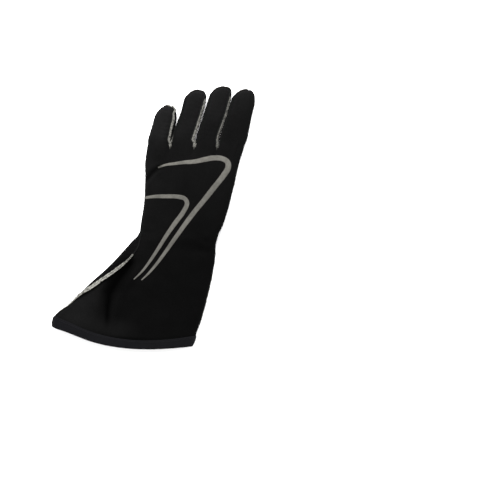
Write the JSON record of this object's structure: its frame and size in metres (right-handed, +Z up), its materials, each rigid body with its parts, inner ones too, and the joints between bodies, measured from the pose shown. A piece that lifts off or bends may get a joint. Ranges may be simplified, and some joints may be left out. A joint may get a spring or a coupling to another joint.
{
  "type": "racing glove",
  "caption": "Left-hand long-gauntlet racing glove of black cloth with outward seams, grey angled stripes and a bound flared cuff, lying palm down with its thumb folded under.",
  "frame": {"origin": "centre of the bounding box in plan, on the surface that the glove lies on", "axes": "+Y along the glove to the fingertips, +X across to the index side, +Z up from the palm to the back"},
  "size_m": [0.1854, 0.3606, 0.0351],
  "materials": {
    "back_cloth": "matt knitted black cloth",
    "palm_cloth": "matt black cloth",
    "seam_cloth": "raw pale cloth edge",
    "dark_seam": "raw dark cloth edge",
    "stripe_suede": "matt grey brushed surface",
    "binding_cloth": "matt dark braid"
  },
  "bodies": {
    "root": {"back_panel": "back_cloth", "palm_panel": "palm_cloth", "thumb": "palm_cloth", "thumb_root_seam": "dark_seam", "fourchette_little_ring": "back_cloth", "fourchette_ring_middle": "back_cloth", "fourchette_middle_index": "back_cloth", "stripe_outer": "stripe_suede", "stripe_inner": "stripe_suede", "hem_binding": "binding_cloth", "seam_little_side": "seam_cloth", "seam_index_side": "seam_cloth", "seam_back_little_ring": "seam_cloth", "seam_back_ring_middle": "seam_cloth", "seam_back_middle_index": "seam_cloth", "seam_palm_little_ring": "seam_cloth", "seam_palm_ring_middle": "seam_cloth", "seam_palm_middle_index": "seam_cloth", "seam_thumb": "seam_cloth"}
  },
  "joints": []
}
